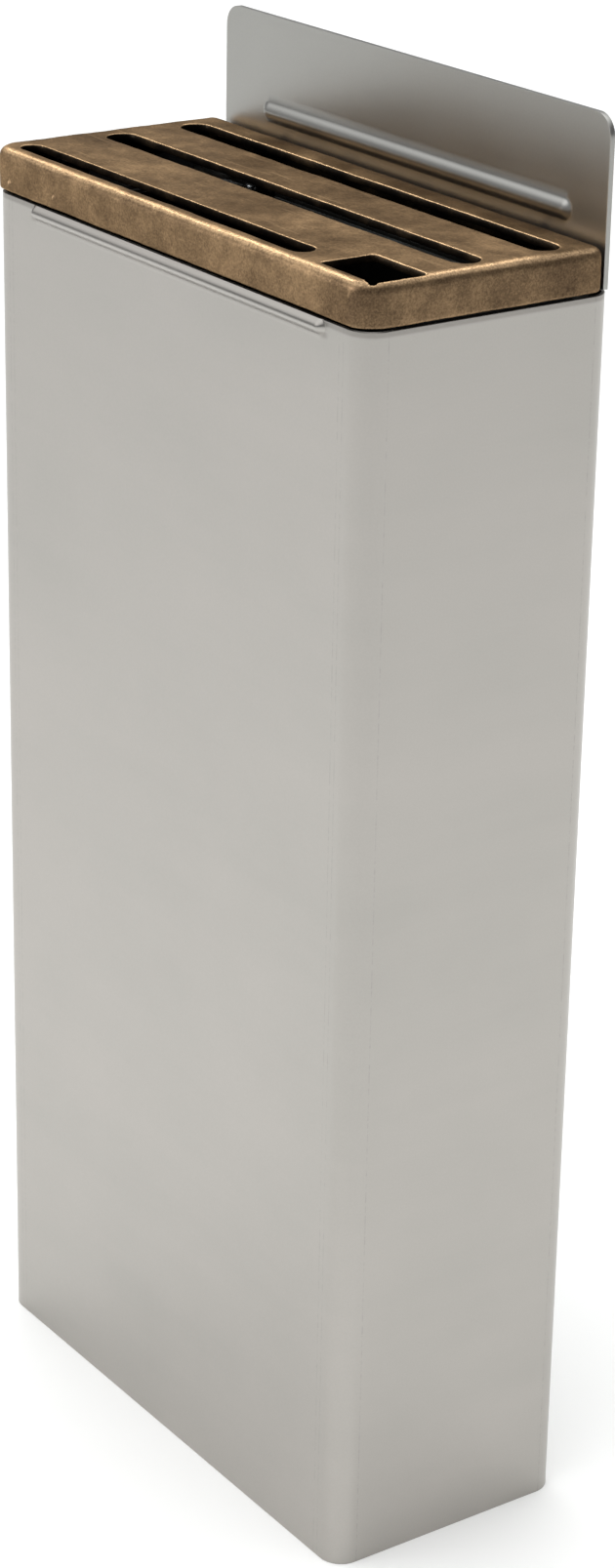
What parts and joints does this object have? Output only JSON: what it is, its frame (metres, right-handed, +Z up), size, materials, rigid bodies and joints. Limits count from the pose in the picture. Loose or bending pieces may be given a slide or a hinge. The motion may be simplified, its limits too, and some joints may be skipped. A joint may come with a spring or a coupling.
{
  "type": "ashtray bin",
  "caption": "Slim wall ashtray bin: folded steel housing on an upstand back plate, cast grille lid with butt slots, hinged on a lift-out liner, key lock.",
  "frame": {"origin": "middle of the housing's underside, on the surface that it stands on", "axes": "+Z up; the front faces -Y and the wall side faces +Y; +X is to the right as seen from the front"},
  "size_m": [0.302, 0.1361, 0.673],
  "materials": {
    "brushed_steel_sheet": "satin, fine vertical grain",
    "bronze_cast": "bronze lacquer on a sand casting, lightly grained",
    "galvanised_sheet": "galvanised, dull with faint spangle",
    "zinc_plated": "bright zinc plating on small parts",
    "black_rubber": "matt moulded rubber"
  },
  "bodies": {
    "housing": {"body_shell": "brushed_steel_sheet", "back_plate": "brushed_steel_sheet", "base_tray": "brushed_steel_sheet", "shell_rivets": "zinc_plated", "wall_spacers": "black_rubber", "base_pads": "black_rubber", "lock_barrel": "zinc_plated", "lock_nut": "zinc_plated"},
    "lock": {"lock_spindle": "zinc_plated", "lock_cam": "zinc_plated", "cam_screw": "zinc_plated"},
    "liner": {"liner_shell": "galvanised_sheet", "liner_rim": "galvanised_sheet", "liner_pan": "galvanised_sheet", "carry_bar": "zinc_plated", "bar_screws": "zinc_plated", "hinge_bracket_left": "zinc_plated", "hinge_bracket_right": "zinc_plated", "hinge_rivets": "zinc_plated", "lid_buffers": "black_rubber"},
    "lid": {"lid_casting": "bronze_cast", "hinge_pin_left": "zinc_plated", "hinge_pin_right": "zinc_plated", "pin_clips": "zinc_plated", "lock_hook": "zinc_plated", "hook_screws": "zinc_plated"}
  },
  "joints": [
    {"name": "liner_lift", "type": "slide", "parent": "housing", "child": "liner", "axis": [0, 0, 1], "range_m": [0, 0.6]},
    {"name": "lid_hinge", "type": "hinge", "parent": "liner", "child": "lid", "pos_m": [0, 0.05245, 0.6135], "axis": [-1, 0, 0], "range_deg": [0, 94]},
    {"name": "lock_turn", "type": "hinge", "parent": "housing", "child": "lock", "pos_m": [-0.148, -0.02, 0.565], "axis": [1, 0, 0], "range_deg": [0, 90]}
  ]
}
